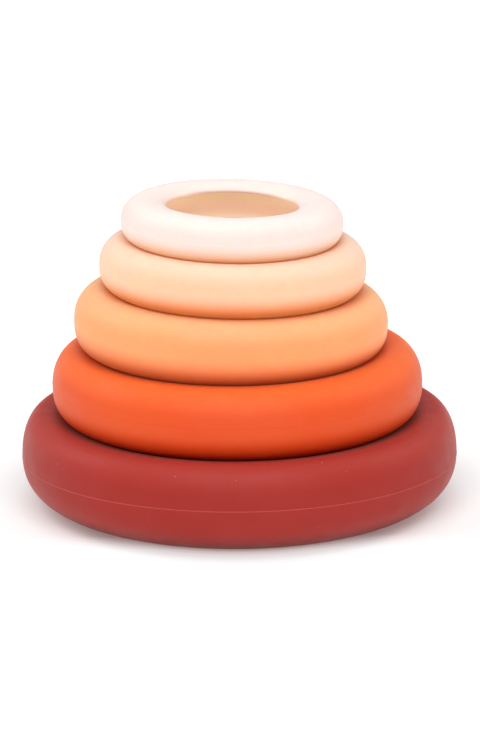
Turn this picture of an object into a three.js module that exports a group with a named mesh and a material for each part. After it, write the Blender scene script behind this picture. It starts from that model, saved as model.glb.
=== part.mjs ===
// A stack of five loose, hollow rings in soft silicone, from a dark red one at the
// bottom to a cream one at the top. Each ring is one moulding, open through its middle
// and hollow all round like a tyre: its wall rolls in at the top to a thin lip, and at
// the bottom to a flat foot. A ring sits on the rolled top of the ring beneath, with its
// foot dipping a little way into that ring's mouth. Nothing fastens the rings together.
//
// Lengths are in millimetres and angles in radians. +Z is up, and the largest ring's
// foot stands on z = 0, with its axis on the Z axis. +Y points to the back of the stack.

import * as THREE from 'three';

// The section that all five rings share, as fractions of a ring's outer radius.
const footAt = 0.65; // radius where the flat foot ends and the side begins
const holeAt = 0.6; // radius of the opening inside the foot
const shoulderFullness = 2.15; // exponent of the shoulder's superellipse: 2 is an ellipse

const wall = 2.4; // thickness of the side and the foot
const lipThickness = 1.3; // thickness of the wall where it ends at the lip
const lipTurn = Math.PI / 3; // angle that the top turns through from crest to lip

const facets = 40; // flats around a ring
const sideSteps = 4; // steps in each quarter of the side
const lipSteps = 3; // steps from crest to lip

// The rings from the bottom up. rise and depth are the heights above and below the
// widest circle, shoulder is how far in from it the crest lies, fullness is the
// exponent of the lower side's superellipse, mouth is the radius inside the lip, drop
// is how far the lip lies under the crest, dip is how far the foot reaches under the
// crest of the ring beneath, and shift and lean are how far off centre, and how far
// from level, it was put down.
const rings = [
  { name: 'dark_red_ring', radius: 57.5, rise: 11.1, depth: 13.7, shoulder: 5.6, fullness: 2.4, mouth: 37.4, drop: 5.75, dip: 0, shift: 0, lean: 0, colour: 0xae3a33 },
  { name: 'orange_ring', radius: 48.8, rise: 9.7, depth: 10.2, shoulder: 7.5, fullness: 2.75, mouth: 31.7, drop: 4.9, dip: 2.58, shift: -0.4, lean: 0, colour: 0xf66437 },
  { name: 'peach_ring', radius: 41.3, rise: 8.5, depth: 8.6, shoulder: 7.9, fullness: 2.75, mouth: 26.8, drop: 4.1, dip: 1.45, shift: -1.9, lean: 0.03, colour: 0xfeb782 },
  { name: 'pale_peach_ring', radius: 35.1, rise: 7, depth: 7.4, shoulder: 6.6, fullness: 2.75, mouth: 22.8, drop: 3.5, dip: 0.98, shift: -1.3, lean: 0.024, colour: 0xffe0c1 },
  { name: 'cream_ring', radius: 29.2, rise: 5.7, depth: 5.9, shoulder: 6.6, fullness: 2.75, mouth: 17.4, drop: 1.7, dip: 1.05, shift: -1.4, lean: 0.03, colour: 0xfdf2ea },
];

// One point of the outer surface: its place, the outward direction across the wall,
// and the wall's thickness there.
function outerPoint(r, z, normalR, normalZ, thickness = wall) {
  const normal = new THREE.Vector2(normalR, normalZ).normalize();
  return { place: new THREE.Vector2(r, z), normal, thickness };
}

// A quarter of the side, from the widest circle (turn 0) to the crest or the foot
// (turn 90 degrees), as part of a superellipse. direction is +1 above, -1 below.
function sidePoint(ring, turn, direction) {
  const width = direction > 0 ? ring.shoulder : ring.radius * (1 - footAt);
  const height = direction > 0 ? ring.rise : ring.depth;
  const fullness = direction > 0 ? shoulderFullness : ring.fullness;
  const across = Math.cos(turn) ** (2 / fullness);
  const along = Math.sin(turn) ** (2 / fullness);
  const normalR = across ** (fullness - 1) / width;
  const normalZ = (direction * along ** (fullness - 1)) / height;
  return outerPoint(ring.radius - width * (1 - across), direction * height * along, normalR, normalZ);
}

// The rolled top, from the crest in to the lip, as part of an ellipse. The wall thins
// towards the lip.
function rollPoint(ring, share) {
  const turn = share * lipTurn;
  const crest = ring.radius - ring.shoulder;
  const width = (crest - ring.mouth) / Math.sin(lipTurn);
  const height = ring.drop / (1 - Math.cos(lipTurn));
  const r = crest - width * Math.sin(turn);
  const z = ring.rise - height * (1 - Math.cos(turn));
  const thickness = THREE.MathUtils.lerp(wall, lipThickness, share);
  return outerPoint(r, z, -Math.sin(turn) / width, Math.cos(turn) / height, thickness);
}

// The outer surface from the edge of the foot's opening, round the side, to the lip.
function outerSurface(ring) {
  const points = [outerPoint(ring.radius * holeAt, -ring.depth, 0, -1)];
  for (let step = sideSteps; step > 0; step -= 1) {
    points.push(sidePoint(ring, (step / sideSteps) * (Math.PI / 2), -1));
  }
  for (let step = 0; step < sideSteps; step += 1) {
    points.push(sidePoint(ring, (step / sideSteps) * (Math.PI / 2), 1));
  }
  for (let step = 0; step <= lipSteps; step += 1) {
    points.push(rollPoint(ring, step / lipSteps));
  }
  return points;
}

// The closed outline of a ring's wall: out along the outer surface and back along the
// hollow, which is the outer surface moved in by the wall's thickness.
function sectionOutline(ring) {
  const outer = outerSurface(ring);
  const hollow = outer.map(({ place, normal, thickness }) => place.clone().addScaledVector(normal, -thickness));
  const outline = [...outer.map(({ place }) => place), ...hollow.reverse()];
  return [...outline, outline[0].clone()];
}

function ringMesh(ring, height) {
  const geometry = new THREE.LatheGeometry(sectionOutline(ring), facets);
  geometry.rotateX(Math.PI / 2); // a lathe turns about Y: stand its axis up along Z
  const material = new THREE.MeshStandardMaterial({ color: ring.colour, roughness: 0.55, metalness: 0 });
  const mesh = new THREE.Mesh(geometry, material);
  mesh.name = ring.name;
  mesh.position.set(ring.shift, 0, height);
  mesh.rotation.y = ring.lean;
  return mesh;
}

// Each ring's widest circle lies its depth above its own foot, and the foot lies its dip
// under the crest of the ring beneath.
const stack = new THREE.Group();
let crestBeneath = 0;
for (const ring of rings) {
  const height = crestBeneath - ring.dip + ring.depth;
  stack.add(ringMesh(ring, height));
  crestBeneath = height + ring.rise;
}

export default stack;
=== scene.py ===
"""The looks of a stack of five loose, hollow silicone rings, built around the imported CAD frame.

Each CAD ring is replaced by a fine revolved skin of the same size, with a mould's parting line
round its side, a rounded lip and a rounded foot. Lengths are in metres, +Z is up, the largest
ring stands on z = 0 and -Y is the front.
"""

import math

import bpy
import numpy as np
from mathutils import Matrix, Vector


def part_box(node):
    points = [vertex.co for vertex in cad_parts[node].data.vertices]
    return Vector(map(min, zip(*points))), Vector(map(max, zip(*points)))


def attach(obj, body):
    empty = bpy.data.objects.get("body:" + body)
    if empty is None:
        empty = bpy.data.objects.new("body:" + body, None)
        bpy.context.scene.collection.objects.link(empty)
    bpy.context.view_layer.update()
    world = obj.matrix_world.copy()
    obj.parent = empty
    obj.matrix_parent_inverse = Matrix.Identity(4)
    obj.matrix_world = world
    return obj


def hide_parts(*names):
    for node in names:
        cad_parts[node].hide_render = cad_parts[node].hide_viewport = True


MM = 0.001

# The section that the rings share, as fractions of a ring's outer radius, as in the CAD part.
FOOT_AT = 0.65
HOLE_AT = 0.6
SHOULDER_FULLNESS = 2.15
WALL = 2.4 * MM
LIP_THICKNESS = 1.3 * MM
LIP_TURN = math.pi / 3

LIP_END = 0.93  # share of the roll where the rounded edge of the lip begins
LIP_BULGE = 0.42  # how far that edge stands out, as a share of the lip's thickness
FOOT_ROUND = 0.9 * MM
SKIN_IN = 0.12 * MM  # the skin's side lies this far inside the CAD's, which leaves room for the parting line
TOUCH = 0.02 * MM  # what is left of the CAD's gap where a skin sags on to the skin beneath
SEGMENTS = 288  # columns round a ring
ROW = 0.08 * MM  # height between points beside the parting line
LINE_BELOW, LINE_ABOVE = 2.3 * MM, 1.3 * MM  # how far those points reach below and above the widest circle
LINE_WIDTH = 0.12 * MM  # half width of the parting line's bead
LINE_WAVE = 0.05 * MM  # how far the parting line wanders up and down
SHADE_SPAN = 0.72  # share of the lower side's height over which painted shade deepens its colour
FOLD_FROM = 0.85  # share of that painted shade from which a painted glow sets in where two rings meet
COVER_OUT, COVER_SPAN = 1.5 * MM, 4.5 * MM  # painted shade on a covered top sets in from this far out, over this width
CROWN_FROM = 0.3  # share of the shoulder's height from which the colour turns to the crown's painted top light
RIM_FROM, RIM_SPAN = 0.75, 0.1  # shares of the radius over which the painted glow sets in
FLOOR_DIM = 0.9  # how much of its painted light the hollow loses towards its floor
NOSE_STEPS = 9  # points round the edges of the lip and the foot

# The rings from the bottom up. rise to lean are the CAD's numbers, in millimetres and radians:
# heights above and below the widest circle, width of the shoulder, exponent of the lower side,
# radius of the mouth, how far the lip lies under the crest, how far the foot dips under the crest
# beneath, and how far off centre and off level the ring was put down. seam is the height of the
# parting line over the widest circle at the front, tilt is half of how much lower it runs at the
# back, and proud is how far it stands out. shade is the share of the lower side, from the widest
# circle down, that keeps the side's colour before painted shade deepens it towards the foot.
RINGS = [
    dict(node="dark_red_ring", body="dark_red", slot="dark_red_silicone",
         rise=11.1, depth=13.7, shoulder=5.6, fullness=2.4, mouth=37.4, drop=5.75,
         dip=0, shift=0, lean=0, seam=0.5, tilt=1.1, proud=0.09, shade=0.42),
    dict(node="orange_ring", body="orange", slot="orange_silicone",
         rise=9.7, depth=10.2, shoulder=7.5, fullness=2.75, mouth=31.7, drop=4.9,
         dip=2.58, shift=-0.4, lean=0, seam=0.8, tilt=0.4, proud=0.05, shade=0.1),
    dict(node="peach_ring", body="peach", slot="peach_silicone",
         rise=8.5, depth=8.6, shoulder=7.9, fullness=2.75, mouth=26.8, drop=4.1,
         dip=1.45, shift=-1.9, lean=0.03, seam=0.8, tilt=0.3, proud=0.04, shade=0),
    dict(node="pale_peach_ring", body="pale_peach", slot="pale_peach_silicone",
         rise=7, depth=7.4, shoulder=6.6, fullness=2.75, mouth=22.8, drop=3.5,
         dip=0.98, shift=-1.3, lean=0.024, seam=0.2, tilt=0, proud=0.03, shade=0),
    dict(node="cream_ring", body="cream", slot="cream_silicone",
         rise=5.7, depth=5.9, shoulder=6.6, fullness=2.75, mouth=17.4, drop=1.7,
         dip=1.05, shift=-1.4, lean=0.03, seam=0.0, tilt=0, proud=0.02, shade=0),
]


# ---- shape ----------------------------------------------------------------------------------


def side_curve(radius, width, height, fullness, turns, direction):
    """A quarter of the side as part of a superellipse: places and outward normals."""
    across = np.cos(turns).clip(0) ** (2 / fullness)
    along = np.sin(turns).clip(0) ** (2 / fullness)
    place = np.stack([radius - width * (1 - across), direction * height * along], 1)
    normal = np.stack([across ** (fullness - 1) / width, direction * along ** (fullness - 1) / height], 1)
    return place, normal


def side_turns(height, fullness, band):
    """Where to put points on a quarter of the side: close together as far as band, for the parting line."""
    close = np.arcsin((np.arange(0, band, ROW) / height) ** (fullness / 2))
    wide = math.pi / 4 * (1 - np.cos(np.linspace(0, math.pi, 30)))
    return np.concatenate([close, wide[wide > close[-1] + 0.01]])


def roll_curve(crest, mouth, rise, drop, shares):
    """The rolled top from the crest (share 0) in to the lip (share 1)."""
    turns = shares * LIP_TURN
    width = (crest - mouth) / math.sin(LIP_TURN)
    height = drop / (1 - math.cos(LIP_TURN))
    place = np.stack([crest - width * np.sin(turns), rise - height * (1 - np.cos(turns))], 1)
    normal = np.stack([-np.sin(turns) / width, np.cos(turns) / height], 1)
    return place, normal


def ease(share):
    """A share from 0 to 1 with a gentle start and end."""
    return share * share * (3 - 2 * share)


def nose(start, end, bulge):
    """A rounded edge from one side of the wall to the other, standing out by bulge."""
    middle = (start + end) / 2
    half = (end - start) / 2
    out = np.array([half[1], -half[0]]) / np.linalg.norm(half) * bulge
    angles = np.linspace(0, math.pi, NOSE_STEPS + 2)[1:-1]
    return middle - np.outer(np.cos(angles), half) + np.outer(np.sin(angles), out)


def section(spec, radius):
    """A ring's wall as a closed outline of (r, z) points from the foot's edge, and the outer ones' number."""
    rise, depth, shoulder = spec["rise"] * MM - TOUCH, spec["depth"] * MM, spec["shoulder"] * MM
    below = side_turns(depth, spec["fullness"], LINE_BELOW)
    above = side_turns(rise, SHOULDER_FULLNESS, LINE_ABOVE)
    foot = np.linspace(radius * HOLE_AT + FOOT_ROUND, radius * FOOT_AT, 7)[:-1]
    shares = np.linspace(0, LIP_END, 16)[1:]
    parts = [
        (np.stack([foot, np.full_like(foot, -depth)], 1), np.tile([0.0, -1.0], (len(foot), 1))),
        side_curve(radius, radius * (1 - FOOT_AT), depth, spec["fullness"], below[::-1], -1),
        side_curve(radius, shoulder, rise, SHOULDER_FULLNESS, above[1:], 1),
        roll_curve(radius - shoulder, spec["mouth"] * MM, rise, spec["drop"] * MM, shares),
    ]
    place = np.concatenate([p for p, _ in parts])
    normal = np.concatenate([n for _, n in parts])
    normal /= np.linalg.norm(normal, axis=1)[:, None]
    thickness = np.full(len(place), WALL)
    thickness[-len(shares):] = WALL + (LIP_THICKNESS - WALL) * shares
    hollow = place - normal * thickness[:, None]
    lip = nose(place[-1], hollow[-1], LIP_THICKNESS * LIP_BULGE)
    edge = nose(hollow[0], place[0], FOOT_ROUND)
    return np.concatenate([place, lip, hollow[::-1], edge]), len(place) + len(lip)


def to_stack(spec, height, x, y, z):
    """Places on a ring, from its own axes to the stack's."""
    cos, sin = math.cos(spec["lean"]), math.sin(spec["lean"])
    return x * cos + z * sin + spec["shift"] * MM, y, z * cos - x * sin + height


def sag(spec, height, beneath, r, z, turn, weight):
    """How far each column of a soft ring's underside sinks to touch the ring beneath all round."""
    lower, lower_height, (top_r, top_z) = beneath
    cos, sin = math.cos(lower["lean"]), math.sin(lower["lean"])
    down = np.zeros_like(turn)
    for _ in range(4):
        x, y, up = to_stack(spec, height, r * np.sin(turn), -r * np.cos(turn), z - down * weight)
        x, up = x - lower["shift"] * MM, up - lower_height
        x, up = x * cos - up * sin, x * sin + up * cos
        reach = np.hypot(x, y)
        gap = up - np.interp(reach, top_r, top_z)
        gap = np.where((reach > top_r[0]) & (reach < top_r[-1]), gap, 1)
        down = down + (gap.min(1) - TOUCH)[:, None]
    return down.clip(0)


def ring_mesh(spec, radius, height, seed, beneath, above):
    """A ring's skin, revolved from its section, with its parting line and slight unevenness."""
    outline, outer = section(spec, radius - SKIN_IN)
    count = len(outline)
    turn = np.linspace(0, 2 * math.pi, SEGMENTS, endpoint=False)[:, None]
    r = np.repeat(outline[None, :, 0], SEGMENTS, 0)
    z = np.repeat(outline[None, :, 1], SEGMENTS, 0)
    # the parting line: a fine bead round the side, uneven along its length
    rng = np.random.default_rng(seed)
    phases = rng.uniform(0, 2 * math.pi, 8)
    waves = sum(np.sin(turn * k + phases[i]) / (i + 1.5) for i, k in enumerate((3, 5, 8, 13, 21)))
    line_z = (spec["seam"] + spec["tilt"] * (np.cos(turn) - 1)) * MM
    line_z = line_z + LINE_WAVE * np.sin(2 * turn + phases[6])
    outside = np.arange(count) < outer
    bead = np.exp(-((z - line_z) / LINE_WIDTH) ** 2) * (r > radius * 0.9) * outside
    r = r + bead * spec["proud"] * MM * (0.85 + 0.12 * waves)
    # how strongly each place takes painted shade (underside, covered top) and painted light (crown, hollow)
    fall = outline[:, 1] / outline[:, 1].min()
    # painted shade: the lower side's colour deepens towards the foot
    low = np.clip((fall - spec["shade"]) / min(SHADE_SPAN, 1 - spec["shade"]), 0, 1)
    under = np.tile(ease(low), (SEGMENTS, 1))
    # painted top light: the crown turns paler towards the lip
    high = np.clip((outline[:, 1] / outline[:, 1].max() - CROWN_FROM) / (1 - CROWN_FROM), 0, 1)
    crown = np.tile(ease(high) * outside, (SEGMENTS, 1))
    if beneath:
        side = slice(0, int(np.argmax(outline[:outer, 0])))
        z = z - under * sag(spec, height, beneath, r[:, side], z[:, side], turn, under[:, side])
    place = np.stack(to_stack(spec, height, r * np.sin(turn), -r * np.cos(turn), z), -1).reshape(-1, 3)
    column = np.arange(SEGMENTS)[:, None] * count
    nxt = ((np.arange(SEGMENTS) + 1) % SEGMENTS)[:, None] * count
    step = np.arange(count)[None, :]
    after = (step + 1) % count
    faces = np.stack([column + step, nxt + step, nxt + after, column + after], -1).reshape(-1, 4)
    mesh = bpy.data.meshes.new(spec["node"] + "_skin")
    mesh.from_pydata(place.tolist(), [], faces.tolist())
    mesh.polygons.foreach_set("use_smooth", [True] * len(faces))
    # painted shade on the top where the ring above covers it
    nest = np.zeros_like(r)
    if above:
        upper, upper_radius = above
        reach = np.hypot(r * np.sin(turn) - (upper["shift"] - spec["shift"]) * MM, r * np.cos(turn))
        covered = np.clip((upper_radius + COVER_OUT - reach) / COVER_SPAN, 0, 1) * (outline[:, 1] > 0)
        nest = ease(covered) * outside
    # painted light inside the hollow, fading towards its floor
    floor_share = np.clip(outline[:, 1] / outline[outer:, 1].min(), 0, 1)
    hollow = ~outside * (outline[:, 0] > radius * FOOT_AT)
    inside = np.tile(hollow * (1 - FLOOR_DIM * floor_share), (SEGMENTS, 1))
    # painted glow: an emission low on the outer side where the ring meets the one beneath
    fold = np.clip((low - FOLD_FROM) / (1 - FOLD_FROM), 0, 1)
    rim = np.clip((outline[:, 0] / radius - RIM_FROM) / RIM_SPAN, 0, 1)
    painted_glow = np.tile(fold * rim * outside, (SEGMENTS, 1))
    marks = dict(seam=bead, inside=inside, under=under, crown=crown, nest=nest, painted_glow=painted_glow)
    for name, values in marks.items():
        mark = mesh.attributes.new(name, "FLOAT", "POINT")
        mark.data.foreach_set("value", values.astype(np.float32).ravel())
    mesh.validate()
    mesh.update()
    widest = int(np.argmax(outline[:outer, 0]))
    lip = widest + int(np.argmin(outline[widest:outer, 0]))
    return mesh, (outline[widest:lip, 0][::-1], outline[widest:lip, 1][::-1])


# ---- materials ------------------------------------------------------------------------------


def linear(red, green, blue):
    """An sRGB colour of 0 to 255 as Blender's linear RGBA."""
    def one(v):
        v /= 255
        return v / 12.92 if v <= 0.04045 else ((v + 0.055) / 1.055) ** 2.4
    return (one(red), one(green), one(blue), 1.0)


class Nodes:
    """Short calls for a material's node tree."""

    def __init__(self, material):
        material.use_nodes = True
        self.tree = material.node_tree
        self.tree.nodes.clear()

    def add(self, kind, **values):
        node = self.tree.nodes.new(kind)
        for key, value in values.items():
            setattr(node, key, value)
        return node

    def link(self, start, end):
        self.tree.links.new(start, end)

    def noise(self, scale, detail=3.0, roughness=0.55):
        node = self.add("ShaderNodeTexNoise")
        node.inputs["Scale"].default_value = scale
        node.inputs["Detail"].default_value = detail
        node.inputs["Roughness"].default_value = roughness
        self.link(self.place.outputs["Object"], node.inputs["Vector"])
        return node.outputs["Fac"]

    def ramp(self, source, low, high, to_low=0.0, to_high=1.0):
        node = self.add("ShaderNodeMapRange", clamp=True)
        node.inputs["From Min"].default_value = low
        node.inputs["From Max"].default_value = high
        node.inputs["To Min"].default_value = to_low
        node.inputs["To Max"].default_value = to_high
        self.link(source, node.inputs["Value"])
        return node.outputs["Result"]

    def bands(self, source, stops):
        node = self.add("ShaderNodeValToRGB")
        ends = node.color_ramp.elements
        ends[0].position, ends[1].position = stops[0][0], stops[-1][0]
        ends[0].color, ends[1].color = (*stops[0][1], 1), (*stops[-1][1], 1)
        for share, colour in stops[1:-1]:
            ends.new(share).color = (*colour, 1)
        self.link(source, node.inputs["Fac"])
        return node.outputs["Color"]

    def mix(self, share, first, second):
        node = self.add("ShaderNodeMix", data_type="RGBA")
        self.link(share, node.inputs["Factor"])
        for socket, value in ((node.inputs[6], first), (node.inputs[7], second)):
            if isinstance(value, tuple):
                socket.default_value = value
            else:
                self.link(value, socket)
        return node.outputs[2]


DUST = linear(255, 216, 200)
SEAM_TINT = 0.48  # how far the parting line takes its own colour
COVER_SHADE = 0.55  # how far a covered top takes the underside's colour, as painted shade
SIDE_GLOSS, UNDER_GLOSS = 0.33, 0.06  # specular level, on the side and deep in the folds
PAINTED_GLOW_COLOUR = (1.0, 0.36, 0.12, 1)
SPECK_SCALE = 600  # cells of dust to the metre, one speck at most in each
SPECK_SIZE = (0.08, 0.13)  # a speck's core and edge, in cells
SPECK_PATCHES = (0.66, 0.70)  # values of a broad noise between which the specks set in
ROUGHNESS = (0.46, 0.58)
GRAIN_HEIGHT = 0.2 * MM


def silicone(name, colour, worn, seam_colour, under_shade_colour, crown_light_colour, hollow_light_colour,
             soft, glow, reach, sheen, dust, painted_glow):
    """Satin silicone: light soaks through it, with a fine matt grain, faint clouding, a little dust, and
    painted shade, painted light and a painted glow in places.
    """
    material = bpy.data.materials.new(name)
    n = Nodes(material)
    n.place = n.add("ShaderNodeTexCoord")
    shader = n.add("ShaderNodeBsdfPrincipled")
    out = n.add("ShaderNodeOutputMaterial")
    n.link(shader.outputs["BSDF"], out.inputs["Surface"])
    clouds = n.ramp(n.noise(45, 4), 0.35, 0.7)
    body = n.mix(clouds, colour, worn)
    # painted shade on the underside, deepening towards the foot
    under = n.add("ShaderNodeAttribute", attribute_name="under")
    body = n.mix(under.outputs["Fac"], body, under_shade_colour)
    # painted top light on the crown
    crown = n.add("ShaderNodeAttribute", attribute_name="crown")
    body = n.mix(crown.outputs["Fac"], body, crown_light_colour)
    # painted shade where the ring above covers the top
    nest = n.add("ShaderNodeAttribute", attribute_name="nest")
    body = n.mix(n.ramp(nest.outputs["Fac"], 0, 1, 0, COVER_SHADE), body, under_shade_colour)
    # painted light inside the hollow
    inside = n.add("ShaderNodeAttribute", attribute_name="inside")
    body = n.mix(inside.outputs["Fac"], body, hollow_light_colour)
    seam = n.add("ShaderNodeAttribute", attribute_name="seam")
    body = n.mix(n.ramp(seam.outputs["Fac"], 0.25, 1.0, 0, SEAM_TINT), body, seam_colour)
    specks = n.add("ShaderNodeTexVoronoi")
    specks.inputs["Scale"].default_value = SPECK_SCALE
    n.link(n.place.outputs["Object"], specks.inputs["Vector"])
    few = n.add("ShaderNodeMath", operation="MULTIPLY")
    n.link(n.ramp(specks.outputs["Distance"], *SPECK_SIZE, dust, 0), few.inputs[0])
    n.link(n.ramp(n.noise(140, 1), *SPECK_PATCHES), few.inputs[1])
    body = n.mix(few.outputs[0], body, DUST)
    n.link(body, shader.inputs["Base Color"])
    n.link(n.ramp(n.noise(160, 3), 0.3, 0.7, *ROUGHNESS), shader.inputs["Roughness"])
    shader.inputs["Subsurface Weight"].default_value = soft
    shader.inputs["Subsurface Radius"].default_value = glow
    shader.inputs["Subsurface Scale"].default_value = reach
    shader.inputs["IOR"].default_value = 1.41
    n.link(n.ramp(under.outputs["Fac"], 0, 1, SIDE_GLOSS, UNDER_GLOSS), shader.inputs["Specular IOR Level"])
    n.link(n.ramp(under.outputs["Fac"], 0, 1, sheen, 0), shader.inputs["Sheen Weight"])
    shader.inputs["Sheen Roughness"].default_value = 0.4
    shader.inputs["Sheen Tint"].default_value = DUST
    # painted glow: a warm emission where the ring meets the one beneath, though the ring is no lamp
    if painted_glow:
        fold = n.add("ShaderNodeAttribute", attribute_name="painted_glow")
        shader.inputs["Emission Color"].default_value = PAINTED_GLOW_COLOUR
        n.link(n.ramp(fold.outputs["Fac"], 0, 1, 0, painted_glow), shader.inputs["Emission Strength"])
        material.cycles.emission_sampling = "NONE"
    grain = n.add("ShaderNodeBump")
    grain.inputs["Strength"].default_value = 0.12
    grain.inputs["Distance"].default_value = GRAIN_HEIGHT
    n.link(n.noise(2200, 2), grain.inputs["Height"])
    n.link(grain.outputs["Normal"], shader.inputs["Normal"])
    return material


# colour to worn: the side's cloudy colour. The underside's colour is painted shade, the crown's is
# painted top light and the inside's is painted light in the hollow. soft, glow and reach: the weight,
# the radius in each colour and the scale of the light that soaks through. sheen and dust are
# strengths, and the last is that of a painted glow, an emission where two rings meet.
COLOURS = {
    "dark_red_silicone": dict(
        colour=linear(150, 32, 24), worn=linear(154, 37, 29), seam_colour=linear(204, 104, 90),
        under_shade_colour=linear(70, 9, 6), crown_light_colour=linear(167, 49, 40),
        hollow_light_colour=linear(158, 34, 25), soft=0.5, glow=(1.0, 0.2, 0.1),
        reach=1.5 * MM, sheen=0.07, dust=0.22, painted_glow=0),
    "orange_silicone": dict(
        colour=linear(212, 76, 22), worn=linear(213, 81, 27), seam_colour=linear(210, 70, 24),
        under_shade_colour=linear(186, 46, 9), crown_light_colour=linear(238, 104, 42),
        hollow_light_colour=linear(226, 82, 22), soft=0.8, glow=(1.0, 0.25, 0.1),
        reach=2.6 * MM, sheen=0.07, dust=0.12, painted_glow=0),
    "peach_silicone": dict(
        colour=linear(250, 154, 100), worn=linear(250, 158, 105), seam_colour=linear(250, 155, 98),
        under_shade_colour=linear(180, 86, 42), crown_light_colour=linear(254, 180, 131),
        hollow_light_colour=linear(255, 170, 114), soft=1.0, glow=(1.0, 0.3, 0.15),
        reach=2.8 * MM, sheen=0.06, dust=0.1, painted_glow=0.04),
    "pale_peach_silicone": dict(
        colour=linear(251, 187, 155), worn=linear(251, 190, 160), seam_colour=linear(252, 197, 163),
        under_shade_colour=linear(202, 121, 62), crown_light_colour=linear(254, 209, 184),
        hollow_light_colour=linear(255, 214, 178), soft=1.0, glow=(1.0, 0.4, 0.2),
        reach=2.8 * MM, sheen=0.05, dust=0.1, painted_glow=0.12),
    "cream_silicone": dict(
        colour=linear(239, 205, 198), worn=linear(239, 207, 201), seam_colour=linear(248, 220, 210),
        under_shade_colour=linear(214, 176, 140), crown_light_colour=linear(250, 229, 223),
        hollow_light_colour=linear(255, 241, 222), soft=1.0, glow=(1.0, 0.55, 0.4),
        reach=2.8 * MM, sheen=0.06, dust=0.1, painted_glow=0.16),
}


# The floor's own light between two distances from the stack's axis, as shares of the way and
# colours: painted shadow, reddened as a painted bounce, close to the stack, a painted brighter band
# just in front of it that thins the shadow there, and white for the rest.
SHADE_REACH = (40 * MM, 64 * MM)
SIDE_SHADE = [(0.0, (0.15, 0.09, 0.08)), (0.2, (0.23, 0.155, 0.15)), (0.44, (0.25, 0.165, 0.155)),
              (0.56, (0.29, 0.25, 0.245)), (0.68, (0.3, 0.265, 0.26)), (0.86, (0.31, 0.31, 0.31))]
FRONT_SHADE = [(0.0, (0.15, 0.09, 0.08)), (0.19, (0.36, 0.26, 0.25)), (0.27, (0.52, 0.45, 0.44)),
               (0.38, (0.55, 0.52, 0.51)), (0.52, (0.4, 0.44, 0.45)), (0.86, (0.44, 0.44, 0.44))]


FRONT_REACH = (-44 * MM, -32 * MM)  # Y where the front's shade gives way to the sides'
FAR_REACH = (60 * MM, 250 * MM)  # distances over which the floor's own light doubles
FLOOR_GREY = (0.72, 0.72, 0.72, 1)
FLOOR_HALF = 3.0
BACKDROP_RADIUS = 4.5
WORLD_STRENGTH = 0.47
SOFTBOX_TARGET = (0, 0, 0.04)
INNER_GLOW_POWER = 0.0011
INNER_GLOW_COLOUR = (0.8, 0.95, 1.0)


def floor_material():
    material = bpy.data.materials.new("white_floor")
    n = Nodes(material)
    n.place = n.add("ShaderNodeTexCoord")
    shader = n.add("ShaderNodeBsdfPrincipled")
    out = n.add("ShaderNodeOutputMaterial")
    n.link(shader.outputs["BSDF"], out.inputs["Surface"])
    shader.inputs["Base Color"].default_value = FLOOR_GREY
    shader.inputs["Roughness"].default_value = 0.7
    shader.inputs["Specular IOR Level"].default_value = 0.2
    distance = n.add("ShaderNodeVectorMath", operation="LENGTH")
    n.link(n.place.outputs["Object"], distance.inputs[0])
    parts = n.add("ShaderNodeSeparateXYZ")
    n.link(n.place.outputs["Object"], parts.inputs[0])
    near = n.ramp(distance.outputs["Value"], *SHADE_REACH)
    front = n.ramp(parts.outputs["Y"], *FRONT_REACH, 1, 0)
    shade = n.mix(front, n.bands(near, SIDE_SHADE), n.bands(near, FRONT_SHADE))
    n.link(shade, shader.inputs["Emission Color"])
    n.link(n.ramp(distance.outputs["Value"], *FAR_REACH, 1, 2), shader.inputs["Emission Strength"])
    return material


# ---- stage ----------------------------------------------------------------------------------


def add_floor():
    corners = [(x * FLOOR_HALF, y * FLOOR_HALF, 0) for x, y in ((-1, -1), (1, -1), (1, 1), (-1, 1))]
    mesh = bpy.data.meshes.new("floor")
    mesh.from_pydata(corners, [], [(0, 1, 2, 3)])
    floor = bpy.data.objects.new("floor", mesh)
    bpy.context.scene.collection.objects.link(floor)
    mesh.materials.append(floor_material())


def add_backdrop():
    """A plain white surround that only the camera sees, for views that look past the floor's edge."""
    bpy.ops.mesh.primitive_uv_sphere_add(segments=64, ring_count=32, radius=BACKDROP_RADIUS)
    backdrop = bpy.context.object
    backdrop.name = "backdrop"
    for ray in ("diffuse", "glossy", "transmission", "volume_scatter", "shadow"):
        setattr(backdrop, "visible_" + ray, False)
    material = bpy.data.materials.new("white_backdrop")
    n = Nodes(material)
    light = n.add("ShaderNodeEmission")
    out = n.add("ShaderNodeOutputMaterial")
    n.link(light.outputs["Emission"], out.inputs["Surface"])
    backdrop.data.materials.append(material)


def add_softbox(name, place, size, power):
    data = bpy.data.lights.new(name, "AREA")
    data.shape = "RECTANGLE"
    data.size, data.size_y = size
    data.energy = power
    light = bpy.data.objects.new(name, data)
    bpy.context.scene.collection.objects.link(light)
    light.location = place
    light.rotation_euler = (Vector(SOFTBOX_TARGET) - Vector(place)).to_track_quat("-Z", "Y").to_euler()


def add_inner_glow(side, across):
    """A small lamp that the camera doesn't see, for the soft light inside the top ring's hole."""
    data = bpy.data.lights.new("inner_glow_" + side, "POINT")
    data.energy = INNER_GLOW_POWER
    data.color = INNER_GLOW_COLOUR
    data.shadow_soft_size = 5 * MM
    glow = bpy.data.objects.new("inner_glow_" + side, data)
    bpy.context.scene.collection.objects.link(glow)
    glow.location = (across, 10 * MM, 76 * MM)
    glow.visible_camera = False


def add_light():
    world = bpy.data.worlds.new("studio")
    bpy.context.scene.world = world
    world.use_nodes = True
    world.node_tree.nodes["Background"].inputs["Color"].default_value = (1, 1, 1, 1)
    world.node_tree.nodes["Background"].inputs["Strength"].default_value = WORLD_STRENGTH
    add_softbox("key", (0.0, -1.75, 1.8), (2.2, 2.0), 47.0)
    add_softbox("left", (-1.7, 0.35, 1.15), (1.2, 1.2), 11.0)
    add_softbox("right", (1.7, 0.35, 1.15), (1.2, 1.2), 8.0)
    add_inner_glow("left", -12.9 * MM)
    add_inner_glow("right", 10.1 * MM)


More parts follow.
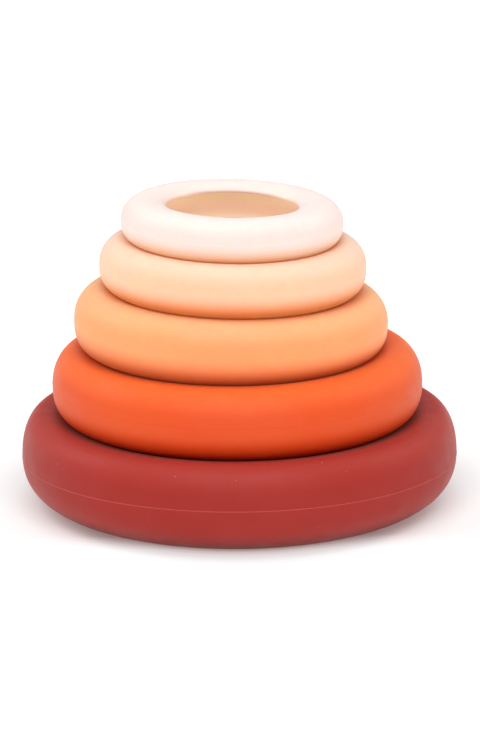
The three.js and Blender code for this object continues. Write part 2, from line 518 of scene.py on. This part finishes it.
CAMERA_BACK = 1104.0 * MM
CAMERA_UP = 341.2 * MM
CAMERA_SIDE = 0.33 * MM
CAMERA_PITCH = math.radians(15.455)
CAMERA_ROLL = -0.0092
CAMERA_LENS = 212.8


def add_camera():
    data = bpy.data.cameras.new("camera")
    data.lens = CAMERA_LENS
    data.sensor_width = 36
    camera = bpy.data.objects.new("camera", data)
    bpy.context.scene.collection.objects.link(camera)
    turn = Matrix.Rotation(math.pi / 2 - CAMERA_PITCH, 4, "X") @ Matrix.Rotation(CAMERA_ROLL, 4, "Z")
    camera.matrix_world = Matrix.Translation((CAMERA_SIDE, -CAMERA_BACK, CAMERA_UP)) @ turn
    bpy.context.scene.camera = camera


# ---- the stack ------------------------------------------------------------------------------


def add_rings():
    crest_beneath = 0
    beneath = None
    radii = []
    for spec in RINGS:
        low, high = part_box(spec["node"])
        radii.append((high.y - low.y) / 2)
    for index, (spec, radius) in enumerate(zip(RINGS, radii)):
        above = (RINGS[index + 1], radii[index + 1]) if index + 1 < len(RINGS) else None
        height = crest_beneath + (spec["depth"] - spec["dip"]) * MM
        crest_beneath = height + spec["rise"] * MM
        mesh, top = ring_mesh(spec, radius, height, index, beneath, above)
        beneath = (spec, height, top)
        ring = bpy.data.objects.new(spec["node"] + "_skin", mesh)
        bpy.context.scene.collection.objects.link(ring)
        mesh.materials.append(silicone(spec["slot"], **COLOURS[spec["slot"]]))
        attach(ring, spec["body"])
        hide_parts(spec["node"])


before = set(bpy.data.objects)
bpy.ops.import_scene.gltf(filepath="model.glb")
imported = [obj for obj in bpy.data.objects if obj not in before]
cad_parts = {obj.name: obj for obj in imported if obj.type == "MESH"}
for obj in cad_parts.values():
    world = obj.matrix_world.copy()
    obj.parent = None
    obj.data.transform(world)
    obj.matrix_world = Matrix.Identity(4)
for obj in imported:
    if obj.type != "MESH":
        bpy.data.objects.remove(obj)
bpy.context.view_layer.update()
scene = bpy.context.scene
scene.view_settings.view_transform = "Standard"
scene.cycles.max_bounces = 24
scene.cycles.diffuse_bounces = 16
add_camera()
add_light()
add_floor()
add_backdrop()
add_rings()
